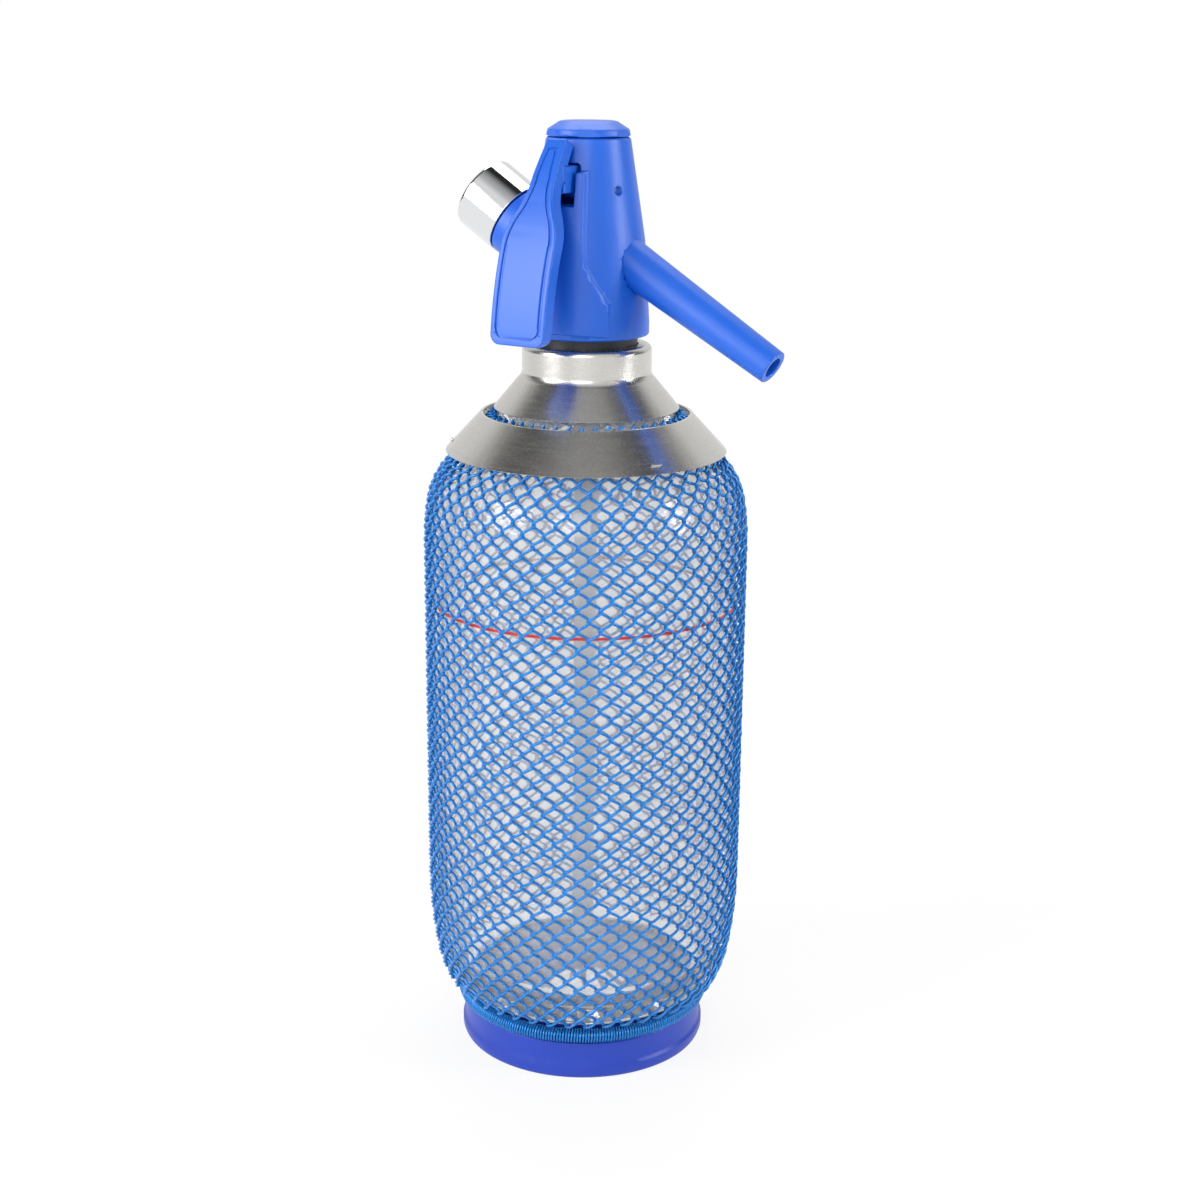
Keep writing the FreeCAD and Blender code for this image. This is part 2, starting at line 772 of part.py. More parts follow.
SPOUT_OUTER = [
    ("spout_plug_radius", "spout_plug"),
    ("spout_plug_radius", "spout_root"),
    ("spout_root_radius", "spout_root"),
    ("spout_tip_radius", "spout_length"),
]


def grown(corner):
    """A corner of the spout's outline moved out by the press-fit allowance."""
    return (corner[0] + " + fit", corner[1])


def pin_bore(name, radius, reach):
    """A bore along the pivot, both ways from the head's middle."""
    item = DOC.addObject("Part::Cylinder", name)
    item.Placement = FreeCAD.Placement(VECTOR(0, 0, 0), FreeCAD.Rotation(VECTOR(0, 1, 0), 90))
    bind(item, Radius=radius, Height=f"2*({reach})", Placement__Base__x=f"-({reach})",
         Placement__Base__y="-pivot_reach", Placement__Base__z="pivot_height")
    return item


PIN_REACH = "(" + head_skin("pivot_height") + "*0.937 - pin_recess)"
hollows = joined("HeadHollows", "fuse", [
    rod("Skirt", "ring_flange_radius + clearance", "head_low - 1", GASKET_TOP),
    rod("HolderSocket", "holder_radius + fit", "head_low", "chamber_low + fit"),
    rod("Chamber", "chamber_radius", "chamber_low", "chamber_high"),
    rod("Loft", "loft_radius", "chamber_high", "loft_high + 1"),
    rod("CapSocket", "cap_socket_radius", "loft_high", "head_top + 1"),
    box("LeverSlot", ("-slot_half", "-head_low_radius - 2*pad_rise", "slot_low"),
        ("slot_half", "0", "slot_high")),
    rod("SpoutFeed", "spout_bore", "spout_bore/2", "spout_plug + 1", "spout"),
    spun("SpoutSocket", [("0", "spout_plug")] + [grown(c) for c in SPOUT_OUTER]
         + [("0", "spout_length")], "spout"),
    rod("NippleSocket", "nipple_socket_radius + fit", "nipple_start", "boss_end + 1", "charger"),
    rod("GasFeed", "gas_bore", "gas_drop", "nipple_start + 1", "charger"),
    pin_bore("PinHole", "pin_radius + fit", "head_low_radius"),
])
gas_drop = rod("GasDrop", "gas_bore", "head_low", "charger_cross + gas_drop*sin(charger_slope)")
bind(gas_drop, Placement__Base__x="-gas_drop")
head = cut("HeadHousing", cut("HeadBored", blank, hollows), gas_drop)
keep(head, "head_housing")

# Spout: a tapered tube plugged into the head
turned("spout_tube", [("spout_bore", "spout_plug")] + SPOUT_OUTER + [("spout_bore", "spout_length")],
       "spout")

# Riser tube, its holder and the valve seat above it
turned("riser_tube", tube("riser_low", "holder_low + holder_grip", "riser_bore",
                          "riser_radius - running"))
turned("tube_holder", [
    ("riser_radius", "holder_low"),
    ("holder_radius", "holder_low"),
    ("holder_radius", "chamber_low"),
    ("riser_bore", "chamber_low"),
    ("riser_bore", "holder_low + holder_grip"),
    ("riser_radius", "holder_low + holder_grip"),
])
turned("valve_seat", [
    ("seat_bore", "chamber_low + fit"),
    ("chamber_radius - fit", "chamber_low + fit"),
    ("chamber_radius - fit", "chamber_low + seat_rise*0.7"),
    ("seat_bore + 2*seat_lip", "chamber_low + seat_rise*0.7"),
    ("seat_bore + seat_lip", SEAT_TOP),
    ("seat_bore", SEAT_TOP),
])

# Valve: rubber seal under a steel stem, which a collar lets the lever lift
turned("valve_seal", [
    ("0", SEAT_TOP),
    ("seal_radius", SEAT_TOP),
    ("seal_radius", f"{SEAT_TOP} + seal_thick"),
    ("0", f"{SEAT_TOP} + seal_thick"),
])
turned("valve_stem", [
    ("0", f"{SEAT_TOP} + seal_thick"),
    ("seal_radius - seat_lip", f"{SEAT_TOP} + seal_thick"),
    ("seal_radius - seat_lip", f"{SEAT_TOP} + seal_thick + seat_lip"),
    ("stem_radius", f"{SEAT_TOP} + 2*seal_thick"),
    ("stem_radius", "stem_top"),
    ("0", "stem_top"),
])
turned("stem_collar", tube("stem_collar_low", COLLAR_TOP, "stem_radius + fit", "stem_collar_radius"))
turned("stem_oring", round_bar("(stem_radius + running + oring_wire/2)", "oring_wire/2",
                               f"{GLAND_LOW} - oring_wire/2"))
turned("gland_nut", tube(GLAND_LOW, "chamber_high", "stem_radius + running", "chamber_radius - fit"))

# Valve spring between the collar and the top cap's pocket
spring_path = DOC.addObject("Part::Helix", "ValveSpringPath")
SPRING_RISE = f"(top_pocket - {COLLAR_TOP} - valve_spring_wire)"
bind(spring_path, Radius="valve_spring_radius", Height=SPRING_RISE,
     Pitch=f"{SPRING_RISE}/valve_spring_turns",
     Placement__Base__z=f"{COLLAR_TOP} + valve_spring_wire/2")
spring_round = DOC.addObject("Part::RegularPolygon", "ValveSpringSection")
spring_round.Polygon = 6
spring_round.Placement = FreeCAD.Placement(VECTOR(0, 0, 0), SIDE_PLANE["XZ"])
bind(spring_round, Circumradius="valve_spring_wire/2", Placement__Base__x="valve_spring_radius",
     Placement__Base__z=f"{COLLAR_TOP} + valve_spring_wire/2")
valve_spring = DOC.addObject("Part::Sweep", "ValveSpring")
valve_spring.Sections = [spring_round]
valve_spring.Spine = (spring_path, ["Edge1"])
valve_spring.Solid = True
valve_spring.Frenet = True
keep(valve_spring, "valve_spring")

# Top cap: plug with the spring's pocket, a band with six flats, a bevel and a flat face
top_blank = spun("TopBlank", [
    ("0", "top_pocket"),
    ("top_pocket_radius", "top_pocket"),
    ("top_pocket_radius", "loft_high + clearance"),
    ("cap_socket_radius - running", "loft_high + clearance"),
    ("cap_socket_radius - running", "head_top"),
    ("top_radius - head_edge", TOP_LOW),
    ("top_radius", TOP_LOW + " + top_gap"),
    ("top_radius - top_draft", "head_top + top_rise"),
    ("top_face_radius + head_edge", "top_height - top_gap"),
    ("top_face_radius - head_edge", "top_height"),
    ("0", "top_height"),
])
flats = []
FLAT_REACH = "(top_radius - top_flat_depth)"
for index in range(6):
    flat = DOC.addObject("Part::Box", f"TopFlat{index}")
    turn = 60.0*index
    flat.Placement = FreeCAD.Placement(VECTOR(0, 0, 0), FreeCAD.Rotation(VECTOR(0, 0, 1), turn))
    bind(flat, Length="top_radius", Width="top_radius", Height="top_rise*2",
         Placement__Base__x=f"{FLAT_REACH}*cos({turn}) + top_radius/2*sin({turn})",
         Placement__Base__y=f"{FLAT_REACH}*sin({turn}) - top_radius/2*cos({turn})",
         Placement__Base__z="head_top")
    flats.append(flat)
keep(cut("TopCap", top_blank, joined("TopFlats", "fuse", flats)), "top_cap")

# Charging nipple: plugged into the boss, threaded outside, with the charger's seat in its end
NIPPLE_WEB = "(nipple_end - nipple_seat_depth)"
turned("charging_nipple", [
    ("gas_bore", "nipple_start + fit"),
    ("nipple_socket_radius/2", "nipple_start + fit"),
    ("nipple_socket_radius/2", "nipple_start + nipple_socket_radius"),
    ("nipple_socket_radius", "nipple_start + nipple_socket_radius"),
    ("nipple_socket_radius", "boss_end"),
    (NIPPLE_RADIUS, "boss_end"),
    (NIPPLE_RADIUS, "nipple_end"),
    ("nipple_seat_radius", "nipple_end"),
    ("nipple_seat_radius", NIPPLE_WEB),
    ("gas_bore", NIPPLE_WEB),
], "charger")
turned("check_sleeve", tube("nipple_start + clearance", "nipple_start + nipple_socket_radius - clearance",
                            "nipple_socket_radius/2 + fit", "nipple_socket_radius/2 + 2*gas_bore"),
       "charger")
turned("piercing_pin", [
    ("0", NIPPLE_WEB),
    ("pin_point_radius*2", NIPPLE_WEB),
    ("pin_point_radius*2", f"{NIPPLE_WEB} + pin_point_radius"),
    ("pin_point_radius", f"{NIPPLE_WEB} + pin_point_radius"),
    ("pin_point_radius", f"{NIPPLE_WEB} + pin_point_rise*0.6"),
    ("0", f"{NIPPLE_WEB} + pin_point_rise"),
], "charger")

# Charging cap and its washer
turned("cap_washer", [
    ("0", "nipple_end"),
    (NIPPLE_RADIUS, "nipple_end"),
    (NIPPLE_RADIUS, WASHER_END),
    ("0", WASHER_END),
], "charger")
turned("charging_cap", [
    ("0", WASHER_END),
    ("cap_radius - cap_wall", WASHER_END),
    ("cap_radius - cap_wall", "cap_start"),
    ("cap_radius", "cap_start"),
    ("cap_radius", "cap_end - cap_round", "cap_round", OUT),
    ("cap_radius - cap_round", "cap_end"),
    ("0", "cap_end"),
], "charger")

# Lever: an arched paddle, cut to its front outline, with an arm, a hub and a fork under the collar
LEVER_INNER_TOP = "(-lever_top_reach + lever_thick*0.9)"
LEVER_INNER_LOW = "(-lever_low_reach + lever_thick)"
arch = drawn_out("LeverArch", "YZ", [
    ("-lever_low_reach", "lever_low"),
    (LEVER_INNER_LOW, "lever_low", "lever_arch - lever_thick", IN),
    (LEVER_INNER_TOP, "lever_top - lever_thick/2"),
    ("-lever_top_reach + lever_thick/4", "lever_top"),
    ("-lever_top_reach", "lever_top", "lever_arch", OUT),
], "lever_half*1.5", "lever_half*1.5")


def lever_front(inset):
    """Outline of the lever seen from the front, moved in all round by an inset."""
    half, waist = f"(lever_half - ({inset}))", f"(lever_waist_half - ({inset}))"
    neck, neck_top = f"(lever_neck_half - ({inset}))", f"(lever_neck_half*0.8 - ({inset}))"
    low, top = f"(lever_low + ({inset}))", f"(lever_top - 1.5*({inset}))"
    return [
        (f"-{half} + lever_corner", low),
        (f"{half} - lever_corner", low, "lever_corner", OUT),
        (half, f"{low} + lever_corner"),
        (half, "lever_hip", "lever_hip_arc", OUT),
        (waist, "lever_waist", "lever_neck_arc", IN),
        (neck, "lever_neck_low"),
        (neck_top, top, "lever_neck_half*2", OUT),
        (f"-{neck_top}", top),
        (f"-{neck}", "lever_neck_low", "lever_neck_arc", IN),
        (f"-{waist}", "lever_waist", "lever_hip_arc", OUT),
        (f"-{half}", "lever_hip"),
        (f"-{half}", f"{low} + lever_corner", "lever_corner", OUT),
    ]


front = drawn_out("LeverFront", "XZ", lever_front("0"), "lever_low_reach*1.5")
paddle = joined("LeverPaddle", "common", [arch, front])

# Groove that outlines the panel on the lever's outer face
skin = drawn_out("LeverSkin", "YZ", [
    ("-lever_low_reach - 2*lever_thick", "lever_low"),
    ("-lever_low_reach + groove_depth", "lever_low", "lever_arch - groove_depth", IN),
    ("-lever_top_reach + groove_depth", "lever_top"),
    ("-lever_top_reach - 3*lever_thick", "lever_top"),
], "lever_half", "lever_half")
outer_edge = drawn_out("LeverGrooveOuter", "XZ", lever_front("groove_inset"), "lever_low_reach*1.5")
inner_edge = drawn_out("LeverGrooveInner", "XZ", lever_front("groove_inset + groove_width"),
                       "lever_low_reach*1.5")
groove = joined("LeverGroove", "common", [skin, cut("LeverGrooveRing", outer_edge, inner_edge)])
ARM_ROOT = "(-lever_top_reach - lever_thick*0.55)"
arm = box("LeverArm", ("-arm_half", ARM_ROOT, "arm_low"), ("arm_half", "-pivot_reach", "arm_high"))
arm_trim = box("LeverArmTrim", ("-arm_half - 1", "-pivot_reach - hub_radius", "pivot_height + hub_radius"),
               ("arm_half + 1", "0", "arm_high + 1"))
hub = DOC.addObject("Part::Cylinder", "LeverHub")
hub.Placement = FreeCAD.Placement(VECTOR(0, 0, 0), FreeCAD.Rotation(VECTOR(0, 1, 0), 90))
bind(hub, Radius="hub_radius", Height="2*arm_half", Placement__Base__x="-arm_half",
     Placement__Base__y="-pivot_reach", Placement__Base__z="pivot_height")
FORK_TOP = "(stem_collar_low - running)"
fork = box("LeverFork", ("-arm_half", "-pivot_reach", FORK_TOP + " - fork_rise"),
           ("arm_half", "fork_tip", FORK_TOP))
fork_gap = box("LeverForkGap", ("-stem_radius - clearance", "-stem_radius - clearance", "arm_low - hub_radius"),
               ("stem_radius + clearance", "fork_tip + 1", "arm_high + 1"))
lever_blank = joined("LeverBlank", "fuse", [paddle, cut("LeverArmCut", arm, arm_trim), hub, fork])
lever_tools = joined("LeverTools", "fuse", [
    fork_gap,
    groove,
    pin_bore("LeverBore", "pin_radius + running", "head_low_radius"),
])
keep(cut("Lever", lever_blank, lever_tools), "lever")
keep(pin_bore("LeverPin", "pin_radius", PIN_REACH), "lever_pin")

# Checks before anything is written
DOC.recompute()
failed = [item.Name for item in DOC.Objects if {"Invalid", "Error"} & set(item.State)]
if failed:
    raise RuntimeError("these objects failed: " + ", ".join(failed))
for part in PARTS:
    if part.Shape.isNull() or not part.Shape.isValid():
        raise RuntimeError(part.Label + " has no valid shape")

os.makedirs("parts", exist_ok=True)
for part in PARTS:
    part.Shape.exportStep(f"parts/{part.Label}.step")
    extent = part.Shape.BoundBox
    print(f"{part.Label:18s} solids {len(part.Shape.Solids):3d} volume {part.Shape.Volume:10.1f}"
          f"  x {extent.XMin:7.2f} {extent.XMax:7.2f}  y {extent.YMin:7.2f} {extent.YMax:7.2f}"
          f"  z {extent.ZMin:7.2f} {extent.ZMax:7.2f}")
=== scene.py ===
import json
import math
import random

import bmesh
import bpy
from mathutils import Matrix, Vector


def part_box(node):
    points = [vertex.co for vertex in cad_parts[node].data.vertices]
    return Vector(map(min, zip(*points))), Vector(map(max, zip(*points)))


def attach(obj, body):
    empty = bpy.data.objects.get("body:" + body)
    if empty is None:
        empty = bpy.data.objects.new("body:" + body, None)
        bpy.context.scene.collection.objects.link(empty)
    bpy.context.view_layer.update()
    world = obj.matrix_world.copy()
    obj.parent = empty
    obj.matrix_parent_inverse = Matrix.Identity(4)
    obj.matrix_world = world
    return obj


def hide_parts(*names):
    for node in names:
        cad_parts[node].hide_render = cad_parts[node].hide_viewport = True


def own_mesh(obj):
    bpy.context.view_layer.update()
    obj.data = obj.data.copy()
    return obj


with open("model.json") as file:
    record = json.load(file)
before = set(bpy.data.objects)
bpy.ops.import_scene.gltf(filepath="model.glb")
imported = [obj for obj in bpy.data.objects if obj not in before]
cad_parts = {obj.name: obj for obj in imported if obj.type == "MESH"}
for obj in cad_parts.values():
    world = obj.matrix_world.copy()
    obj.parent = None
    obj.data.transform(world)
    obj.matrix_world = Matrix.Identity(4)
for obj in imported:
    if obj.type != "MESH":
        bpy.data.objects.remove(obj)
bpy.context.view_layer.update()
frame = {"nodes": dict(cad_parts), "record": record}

# Soda siphon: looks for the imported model; metres, spout towards +X, lever towards -Y
MM = 0.001
UP = Vector((0, 0, 1))


def low(node):
    """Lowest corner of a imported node."""
    return Vector(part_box(node)[0])


def high(node):
    """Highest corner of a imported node."""
    return Vector(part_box(node)[1])


# Shader building
class Shade:
    """A number that changes over a surface; maths on it adds Math nodes."""

    def __init__(self, tree, socket):
        self.tree = tree
        self.socket = socket

    def sum_of(self, operation, *terms):
        node = self.tree.nodes.new("ShaderNodeMath")
        node.operation = operation
        for slot, term in zip(node.inputs, terms):
            if isinstance(term, Shade):
                self.tree.links.new(term.socket, slot)
            else:
                slot.default_value = term
        return Shade(self.tree, node.outputs[0])

    def __add__(self, other):
        return self.sum_of("ADD", self, other)

    def __radd__(self, other):
        return self.sum_of("ADD", other, self)

    def __sub__(self, other):
        return self.sum_of("SUBTRACT", self, other)

    def __rsub__(self, other):
        return self.sum_of("SUBTRACT", other, self)

    def __mul__(self, other):
        return self.sum_of("MULTIPLY", self, other)

    def __rmul__(self, other):
        return self.sum_of("MULTIPLY", other, self)

    def __abs__(self):
        return self.sum_of("ABSOLUTE", self)

    def root(self):
        return self.sum_of("SQRT", self)


class Finish:
    """A material's node tree, with one method for every kind of node."""

    def __init__(self, name, holder=None):
        holder = holder or bpy.data.materials.new(name)
        holder.use_nodes = True
        self.material = holder
        self.tree = holder.node_tree
        self.tree.nodes.clear()

    def add(self, kind, settings=None, output=0, **values):
        node = self.tree.nodes.new(kind)
        for name, setting in (settings or {}).items():
            setattr(node, name, setting)
        for name, item in values.items():
            place = int(name[2:]) if name.startswith("in") else name.replace("_", " ")
            slot = node.inputs[place]
            if isinstance(item, Shade):
                self.tree.links.new(item.socket, slot)
            else:
                slot.default_value = item
        return Shade(self.tree, node.outputs[output]) if node.outputs else node

    def place(self):
        """Object coordinates, in metres."""
        return self.add("ShaderNodeTexCoord", output="Object")

    def parts_of(self, vector):
        """The three numbers of a vector."""
        first = self.add("ShaderNodeSeparateXYZ", in0=vector)
        node = first.socket.node
        return [Shade(self.tree, socket) for socket in node.outputs]

    def noise(self, vector, scale, detail=2.0, roughness=0.5):
        return self.add("ShaderNodeTexNoise", output="Fac", Vector=vector, Scale=scale,
                        Detail=detail, Roughness=roughness)

    def mix(self, factor, first, second):
        """Blend of two colours."""
        return self.add("ShaderNodeMix", {"data_type": "RGBA"}, output=2, in0=factor, in6=first, in7=second)

    def bump(self, height, distance, strength=1.0):
        return self.add("ShaderNodeBump", Height=height, Distance=distance, Strength=strength)

    def surface(self, **values):
        """A Principled shader wired to the output."""
        shader = self.add("ShaderNodeBsdfPrincipled", **values)
        self.add("ShaderNodeOutputMaterial", in0=shader)
        return self.material


def colour(red, green, blue):
    return (red, green, blue, 1.0)


def moulded(name, tint, shadow, roughness, coat):
    """Moulded plastic: a fine even grain, faint flow variation and slightly worn gloss."""
    m = Finish(name)
    here = m.place()
    flow = m.noise(here, 60.0, 3.0)
    grain = m.noise(here, 2600.0, 2.0)
    base = m.mix(flow, tint, shadow)
    rough = roughness + (flow - 0.5)*0.08 + (grain - 0.5)*0.05
    return m.surface(Base_Color=base, Roughness=rough, IOR=1.50, Specular_IOR_Level=0.50,
                     Coat_Weight=coat, Coat_Roughness=0.40, Normal=m.bump(grain, 0.00002, 0.35))


def lacquered_wire():
    """Blue lacquer over bright wire, a little uneven in its depth."""
    m = Finish("lacquered_wire")
    here = m.place()
    blotch = m.noise(here, 180.0, 2.0)
    base = m.mix(blotch, colour(0.001, 0.150, 0.50), colour(0.002, 0.220, 0.64))
    scratch = m.noise(here, 1800.0, 2.0)
    return m.surface(Base_Color=base, Metallic=0.40, Roughness=0.22 + scratch*0.12, IOR=1.5,
                     Coat_Weight=0.35, Coat_Roughness=0.15)


def brushed_steel():
    """Steel sheet brushed round the axis: fine rings that differ in gloss."""
    m = Finish("brushed_steel")
    across, along, height = m.parts_of(m.place())
    radius = (across*across + along*along).root()
    turn = across.sum_of("ARCTAN2", along, across)
    lines = m.add("ShaderNodeCombineXYZ", X=turn*0.006, Y=radius, Z=height)
    fine = m.noise(lines, 5200.0, 3.0, 0.6)
    broad = m.noise(lines, 700.0, 2.0)
    streak = fine*0.65 + broad*0.35
    base = m.mix(streak, colour(0.50, 0.49, 0.46), colour(0.74, 0.73, 0.70))
    return m.surface(Base_Color=base, Metallic=1.0, Roughness=0.18 + streak*0.16,
                     Normal=m.bump(streak, 0.00002, 0.5))


def bright_metal(name, tint, roughness, wear):
    """Plated or turned metal with a few faint smears."""
    m = Finish(name)
    smear = m.noise(m.place(), 140.0, 4.0, 0.6)
    return m.surface(Base_Color=m.mix(smear, tint, colour(tint[0]*0.94, tint[1]*0.94, tint[2]*0.95)),
                     Metallic=1.0, Roughness=roughness + smear*wear)


def clear_glass():
    """Clear pressed glass whose uneven inside scatters what lies behind it into a pale haze."""
    m = Finish("clear_glass")
    here = m.place()
    wave = m.noise(here, 45.0, 2.0)
    ripple = m.noise(here, 260.0, 4.0, 0.65)
    tint = m.mix(wave, colour(0.97, 0.985, 0.985), colour(0.99, 1.0, 1.0))
    clear = m.add("ShaderNodeBsdfPrincipled", Base_Color=tint, Roughness=0.02 + wave*0.03, IOR=1.47,
                  Transmission_Weight=1.0)
    haze = m.add("ShaderNodeBsdfPrincipled", Base_Color=m.mix(ripple, colour(0.84, 0.85, 0.87),
                 colour(0.97, 0.98, 0.98)), Roughness=0.45 + wave*0.1,
                 Specular_IOR_Level=0.25)
    blend = m.add("ShaderNodeMixShader", in0=0.10 + ripple*0.16, in1=clear, in2=haze)
    m.add("ShaderNodeOutputMaterial", in0=blend)
    return m.material


def soft_black(name, roughness):
    """Black rubber or plastic with a dusty grain."""
    m = Finish(name)
    grain = m.noise(m.place(), 1500.0, 3.0)
    base = m.mix(grain, colour(0.008, 0.008, 0.009), colour(0.022, 0.022, 0.024))
    return m.surface(Base_Color=base, Roughness=roughness + grain*0.15, Normal=m.bump(grain, 0.00003, 0.4))


def milky_tube():
    """Milky plastic tube."""
    m = Finish("milky_tube")
    cloud = m.noise(m.place(), 90.0, 3.0)
    base = m.mix(cloud, colour(0.52, 0.53, 0.54), colour(0.62, 0.63, 0.64))
    return m.surface(Base_Color=base, Roughness=0.35 + cloud*0.1, IOR=1.5)


def red_ink():
    """Screen-printed red, a little patchy."""
    m = Finish("red_ink")
    patch = m.noise(m.place(), 900.0, 3.0)
    return m.surface(Base_Color=m.mix(patch, colour(0.55, 0.02, 0.02), colour(0.72, 0.05, 0.04)),
                     Roughness=0.4 + patch*0.1)


SATIN_BLUE = moulded("satin_blue", colour(0.001, 0.090, 0.53), colour(0.002, 0.106, 0.60), 0.40, 0.15)
FOOT_BLUE = moulded("foot_blue", colour(0.004, 0.034, 0.36), colour(0.006, 0.044, 0.44), 0.40, 0.05)
WIRE_BLUE = lacquered_wire()
STEEL = brushed_steel()
CHROME = bright_metal("chrome_plate", colour(0.80, 0.81, 0.82), 0.03, 0.04)
WIRE_STEEL = bright_metal("wire_steel", colour(0.62, 0.62, 0.61), 0.22, 0.12)
TURNED_METAL = bright_metal("turned_metal", colour(0.70, 0.70, 0.70), 0.28, 0.10)
GLASS = clear_glass()
BLACK = soft_black("black_moulding", 0.42)
RUBBER = soft_black("seal_rubber_finish", 0.6)
TUBE = milky_tube()
RED = red_ink()

SLOT_FINISH = {
    "foot_plastic": FOOT_BLUE,
    "clear_glass": GLASS,
    "blue_wire": WIRE_BLUE,
    "brushed_steel": STEEL,
    "steel_wire": WIRE_STEEL,
    "black_plastic": BLACK,
    "seal_rubber": RUBBER,
    "head_plastic": SATIN_BLUE,
    "tube_plastic": TUBE,
    "valve_metal": TURNED_METAL,
    "cap_chrome": CHROME,
}


NODE_SLOT = {part["node"]: part["material_slot"] for part in frame["record"]["subparts"]}
MERGE = 0.002*MM


def dress_nodes():
    """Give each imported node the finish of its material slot."""
    for name, node in frame["nodes"].items():
        node.data.materials.clear()
        node.data.materials.append(SLOT_FINISH[NODE_SLOT[name]])


def merged_copy(node):
    """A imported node's surface in place, with its loose triangles joined."""
    source = frame["nodes"][node]
    work = bmesh.new()
    work.from_mesh(source.data)
    work.transform(source.matrix_world)
    bmesh.ops.remove_doubles(work, verts=work.verts, dist=MERGE)
    return work


def piece(name, mesh, body, slot, finish, *nodes):
    """A finished piece in place, riding on its body."""
    made = bpy.data.objects.new(name, mesh)
    bpy.context.collection.objects.link(made)
    mesh.materials.append(finish)
    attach(made, body)
    if nodes:
        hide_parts(*nodes)
    return made


# Moulded, spun and plated pieces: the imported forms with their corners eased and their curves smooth
EASED = {
    "head_housing": 0.45,
    "lever": 0.50,
    "top_cap": 0.30,
    "spout_tube": 0.40,
    "foot_ring": 0.50,
    "neck_cover": 0.15,
    "shoulder_collar": 0.15,
    "charging_cap": 0.30,
    "neck_thread_ring": 0.20,
    "lever_pin": 0.15,
    "glass_bottle": 0.60,
    "riser_tube": 0.30,
}
CORNER_ANGLE = 28.0
SMOOTH_ANGLE = 38.0
FLAT_ANGLE = 0.3
SHORTEST_CORNER = 0.02*MM
CORNER_DEPTH = 1.6


def is_corner(edge, width):
    """Whether an edge is a corner between two faces that are both deep enough to take the easing."""
    if len(edge.link_faces) != 2 or edge.calc_length() < SHORTEST_CORNER:
        return False
    if math.degrees(edge.calc_face_angle(0.0)) < CORNER_ANGLE:
        return False
    return all(face.calc_area()/edge.calc_length() > CORNER_DEPTH*width for face in edge.link_faces)


def ease(node, width, body):
    """Stand a smooth, round-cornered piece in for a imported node."""
    work = merged_copy(node)
    bmesh.ops.dissolve_limit(work, angle_limit=math.radians(FLAT_ANGLE), verts=work.verts,
                             edges=work.edges)
    corners = [edge for edge in work.edges if is_corner(edge, width)]
    bmesh.ops.bevel(work, geom=corners, offset=width, offset_type="OFFSET", segments=3, profile=0.5,
                    affect="EDGES", clamp_overlap=False, material=-1)
    for face in work.faces:
        face.smooth = True
    mesh = bpy.data.meshes.new(node + "_eased")
    work.to_mesh(mesh)
    work.free()
    mesh.set_sharp_from_angle(angle=math.radians(SMOOTH_ANGLE))
    slot = NODE_SLOT[node]
    made = piece(node + "_eased", mesh, body, slot, SLOT_FINISH[slot], node)
    even = made.modifiers.new("even_shading", "WEIGHTED_NORMAL")
    even.keep_sharp = True


def ease_nodes():
    """Every piece whose corners the camera can see."""
    for body, nodes in frame["record"]["behaviour"]["bodies"].items():
        for node in nodes:
            if node in EASED:
                ease(node, EASED[node]*MM, body)


# Woven sleeve: upright flattened coils of wire, each hooked through the next one round
WIRE = 1.00*MM
COILS = 92
COIL_PITCH = 6.50*MM
COIL_POINTS = 12
COIL_HOOK = 0.63
SLEEVE_PIECES = 6
SLEEVE_SEAT = 0.12*MM
SLEEVE_SPARE = 0.1*MM
SLEEVE_STEP = 0.5*MM
SLEEVE_START = 3.6*WIRE
SLEEVE_WANDER = 0.0012
SLOPE_REACH = 4
STRAND_BEND = 0.985


def wire_curve(name, wire):
    """An empty curve whose splines are drawn as round wire."""
    curve = bpy.data.curves.new(name, "CURVE")
    curve.dimensions = "3D"
    curve.bevel_depth = wire/2
    curve.bevel_resolution = 1
    curve.use_fill_caps = True
    return curve


def add_strand(curve, points, closed=False):
    """One wire through a list of points."""
    spline = curve.splines.new("POLY")
    spline.points.add(len(points) - 1)
    for place, point in zip(spline.points, points):
        place.co = (*point, 1.0)
    spline.use_cyclic_u = closed
    spline.use_smooth = True


def glass_side():
    """Places on the glass from the garter up to the sleeve's top edge: distance along, point, normal."""
    glass = frame["nodes"]["glass_bottle"]
    top = high("mesh_sleeve").z - WIRE
    start = high("garter_spring").z + SLEEVE_START
    reach = high("mesh_sleeve").x*2
    line = []
    level = start
    while level < top:
        hit, spot, normal, face = glass.ray_cast(Vector((reach, 0, level)), Vector((-1, 0, 0)))
        line.append(Vector((spot.x, 0, spot.z)))
        level += SLEEVE_STEP
    along = 0.0
    stations = []
    for index, point in enumerate(line):
        back = line[max(index - SLOPE_REACH, 0)]
        ahead = line[min(index + SLOPE_REACH, len(line) - 1)]
        slope = (ahead - back).normalized()
        if index:
            along += (point - line[index - 1]).length
        stations.append((along, point, Vector((slope.z, 0, -slope.x))))
    return stations


def station_at(stations, distance):
    """Point and normal a distance along the glass's side."""
    first = 0
    last = len(stations) - 1
    while last - first > 1:
        middle = (first + last)//2
        if stations[middle][0] <= distance:
            first = middle
        else:
            last = middle
    before, after = stations[first], stations[last]
    part = (distance - before[0])/(after[0] - before[0])
    return before[1].lerp(after[1], part), before[2].lerp(after[2], part).normalized()


def coil_swing(turn):
    """Sideways place in a coil at a turn: straight strands with tight bends between them."""
    wave = math.cos(turn)
    return 0.45*wave + 0.55*math.asin(STRAND_BEND*wave)/math.asin(STRAND_BEND)


